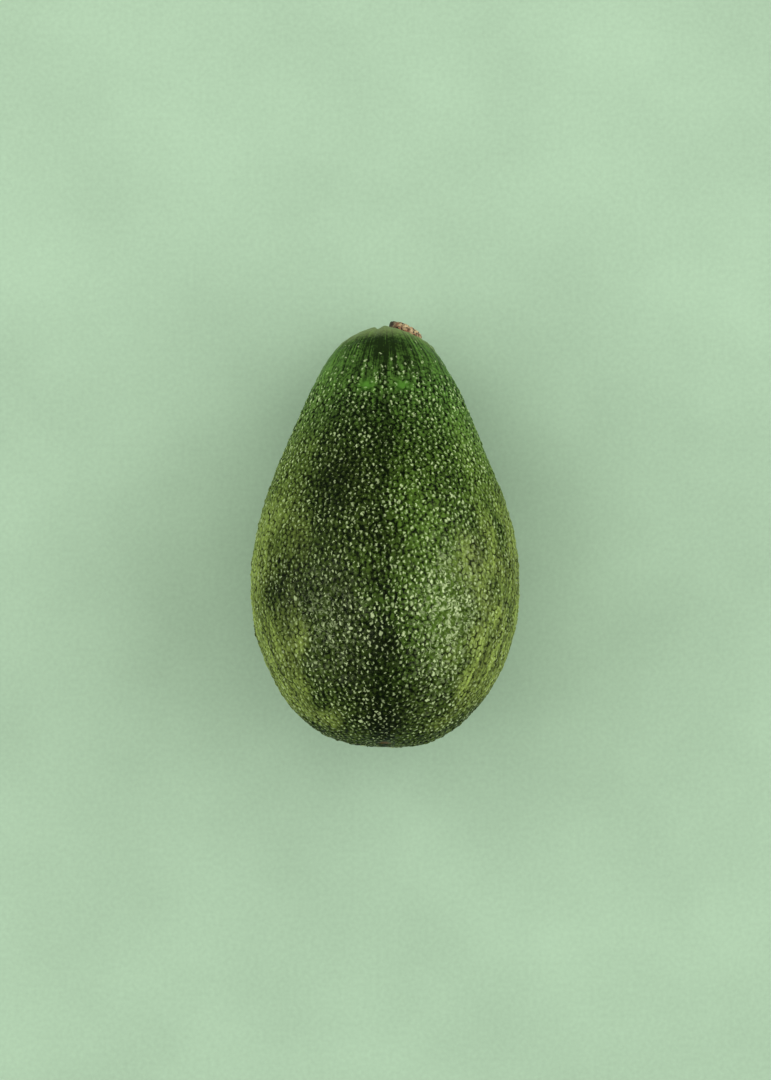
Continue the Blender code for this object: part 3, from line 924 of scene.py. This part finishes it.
def cork_material(button):
    """Dry cork of a snapped stem: dull and crumbly, tan on top, pinkish brown round the
    side, nearly black in the pits and on its inner side, where shade is painted."""
    made, tree = new_material("stem cork")
    coordinates = add_node(tree, "TexCoord").outputs["Object"]
    mm = add_node(tree, "VectorMath", SCALE, {0: coordinates, "Scale": 1 / MM}).outputs[0]
    pit, height, shaded_side = (
        add_node(tree, "Attribute", {"attribute_name": name}).outputs["Fac"]
        for name in ("pit", "height", "shaded_side")
    )
    crumbs = add_node(
        tree, "TexNoise", inputs={"Vector": mm, "Scale": 1.4, "Detail": 5.0, "Roughness": 0.65}
    ).outputs["Fac"]
    grains = add_node(
        tree, "TexNoise", inputs={"Vector": mm, "Scale": 0.75, "Detail": 3.0}
    ).outputs["Fac"]
    upper = add_node(tree, "Math", MULTIPLY_ADD, {0: height, 1: 0.25, 2: grains}).outputs[0]
    upper = add_node(
        tree, "MapRange", inputs={"Value": upper, "From Min": 0.5, "From Max": 0.8}
    ).outputs[0]
    colour = add_node(
        tree, "Mix", COLOURS, {0: upper, 6: (*button.rind, 1), 7: (*button.cork, 1)}
    ).outputs[2]
    dark = add_node(
        tree, "MapRange", inputs={"Value": crumbs, "From Min": 0.5, "From Max": 0.43}
    ).outputs[0]
    # Painted shade in the pits and on the inner side
    shaded_side = add_node(tree, "Math", MULTIPLY, {0: shaded_side, 1: 0.95}).outputs[0]
    dark = add_node(tree, "Math", MAXIMUM, {0: dark, 1: pit}).outputs[0]
    dark = add_node(tree, "Math", MAXIMUM, {0: dark, 1: shaded_side}).outputs[0]
    colour = add_node(tree, "Mix", COLOURS, {0: dark, 6: colour, 7: (*button.pit, 1)}).outputs[2]
    bump = add_node(
        tree, "Bump", inputs={"Strength": 0.8, "Distance": 0.3 * MM, "Height": crumbs}
    ).outputs[0]
    shader = add_node(
        tree, "BsdfPrincipled", inputs={"Base Color": colour, "Roughness": 0.85, "Normal": bump}
    )
    add_node(tree, "OutputMaterial", inputs={"Surface": shader.outputs[0]})
    return made


def paper_material(stage):
    """Uncoated paper: quite matt, with a fine grain of fibres and faint broad clouds."""
    made, tree = new_material("uncoated paper")
    coordinates = add_node(tree, "TexCoord").outputs["Object"]
    mm = add_node(tree, "VectorMath", SCALE, {0: coordinates, "Scale": 1 / MM}).outputs[0]
    fibres = add_node(
        tree, "TexNoise", inputs={"Vector": mm, "Scale": 0.9, "Detail": 4.0}
    ).outputs["Fac"]
    clouds = add_node(
        tree, "TexNoise", inputs={"Vector": mm, "Scale": 0.025, "Detail": 3.0}
    ).outputs["Fac"]
    cloudy = add_node(tree, "Math", MULTIPLY_ADD, {0: clouds, 1: 1.2, 2: fibres}).outputs[0]
    value = add_node(
        tree,
        "MapRange",
        inputs={"Value": cloudy, "From Min": 0.7, "From Max": 1.5, "To Min": 0.9, "To Max": 1.08},
    ).outputs[0]
    colour = add_node(
        tree, "HueSaturation", inputs={"Value": value, "Color": (*stage.paper, 1)}
    ).outputs[0]
    shader = add_node(
        tree,
        "BsdfPrincipled",
        inputs={"Base Color": colour, "Roughness": 0.9, "Specular IOR Level": 0.2},
    )
    add_node(tree, "OutputMaterial", inputs={"Surface": shader.outputs[0]})
    return made


def air_world(stage):
    """Soft light from all round, brighter straight above, where the ceiling is lit."""
    world = bpy.data.worlds.new("air")
    world.use_nodes = True
    tree = world.node_tree
    tree.nodes.clear()
    direction = add_node(tree, "TexCoord").outputs["Generated"]
    up = add_node(tree, "SeparateXYZ", inputs={0: direction}).outputs["Z"]
    strength = add_node(
        tree,
        "MapRange",
        SMOOTH,
        {
            "Value": up,
            "From Min": math.cos(ZENITH_OUTER),
            "From Max": math.cos(ZENITH_INNER),
            "To Min": stage.air_strength,
            "To Max": stage.air_strength * stage.zenith_share,
        },
    ).outputs[0]
    light = add_node(tree, "Background", inputs={"Color": (*stage.air, 1), "Strength": strength})
    add_node(tree, "OutputWorld", inputs={"Surface": light.outputs[0]})
    return world


class MESH_OT_avocado_fruit(bpy.types.Operator):
    """Adds the fruit with its pebbled skin"""

    bl_idname = "mesh.avocado_fruit"
    bl_label = "Fruit"

    def execute(self, context):
        fruit = context.scene.avocado_fruit
        outline = Outline(fruit)
        link_piece(skin_mesh(fruit, outline), rind_material(fruit, outline), "fruit")
        return {"FINISHED"}


class MESH_OT_avocado_button(bpy.types.Operator):
    """Adds the corky button of the stem"""

    bl_idname = "mesh.avocado_button"
    bl_label = "Stem button"

    def execute(self, context):
        button = context.scene.avocado_button
        outline = Outline(context.scene.avocado_fruit)
        link_piece(
            button_mesh(button, outline), cork_material(button), "stem_button"
        )
        return {"FINISHED"}


class MESH_OT_avocado_stage(bpy.types.Operator):
    """Adds the paper, the lights and the camera"""

    bl_idname = "mesh.avocado_stage"
    bl_label = "Stage"

    def execute(self, context):
        scene = context.scene
        stage = scene.avocado_stage
        middle = (FRUIT_LOW + FRUIT_HIGH) / 2

        corners = [
            (x * PAPER_HALF, y * PAPER_HALF, PAPER_LEVEL)
            for x, y in ((-1, -1), (1, -1), (1, 1), (-1, 1))
        ]
        mesh = bpy.data.meshes.new("paper")
        mesh.from_pydata(corners, [], [(0, 1, 2, 3)])
        mesh.materials.append(paper_material(stage))
        paper = bpy.data.objects.new("paper", mesh)
        scene.collection.objects.link(paper)

        scene.world = air_world(stage)

        for side, power in ((1, stage.right_power), (-1, stage.left_power)):
            light = bpy.data.lights.new("side light", "AREA")
            light.size = stage.light_size
            light.energy = power
            lamp = bpy.data.objects.new("side light", light)
            out = (side * math.sin(LIGHT_ANGLE), 0, math.cos(LIGHT_ANGLE))
            lamp.location = [middle[i] + stage.light_distance * out[i] for i in range(3)]
            lamp.location.y += LIGHT_SHIFT
            lamp.rotation_euler.y = side * LIGHT_ANGLE
            lamp.visible_camera = False
            scene.collection.objects.link(lamp)

        camera = bpy.data.cameras.new("camera")
        camera.lens = LENS_PER_METRE * stage.distance
        camera.sensor_width = 36
        eye = bpy.data.objects.new("camera", camera)
        eye.location = middle + Vector((*CAMERA_SHIFT, stage.distance))
        scene.collection.objects.link(eye)
        scene.camera = eye
        scene.view_settings.view_transform = "Standard"
        return {"FINISHED"}


class VIEW3D_PT_avocado(bpy.types.Panel):
    """The avocado's pieces and their sizes and colours"""

    bl_label = "Avocado"
    bl_space_type = "VIEW_3D"
    bl_region_type = "UI"
    bl_category = "Avocado"

    def draw(self, context):
        for operator, group in (
            (MESH_OT_avocado_fruit, context.scene.avocado_fruit),
            (MESH_OT_avocado_button, context.scene.avocado_button),
            (MESH_OT_avocado_stage, context.scene.avocado_stage),
        ):
            box = self.layout.box()
            box.operator(operator.bl_idname)
            for name in group.__annotations__:
                box.prop(group, name)


CLASSES = (
    AvocadoFruit,
    AvocadoButton,
    AvocadoStage,
    MESH_OT_avocado_fruit,
    MESH_OT_avocado_button,
    MESH_OT_avocado_stage,
    VIEW3D_PT_avocado,
)


def register():
    for made in CLASSES:
        bpy.utils.register_class(made)
    bpy.types.Scene.avocado_fruit = PointerProperty(type=AvocadoFruit)
    bpy.types.Scene.avocado_button = PointerProperty(type=AvocadoButton)
    bpy.types.Scene.avocado_stage = PointerProperty(type=AvocadoStage)


def unregister():
    del bpy.types.Scene.avocado_stage
    del bpy.types.Scene.avocado_button
    del bpy.types.Scene.avocado_fruit
    for made in reversed(CLASSES):
        bpy.utils.unregister_class(made)


def main():
    register()
    bpy.ops.mesh.avocado_fruit()
    bpy.ops.mesh.avocado_button()
    bpy.ops.mesh.avocado_stage()


if __name__ == "__main__":
    main()
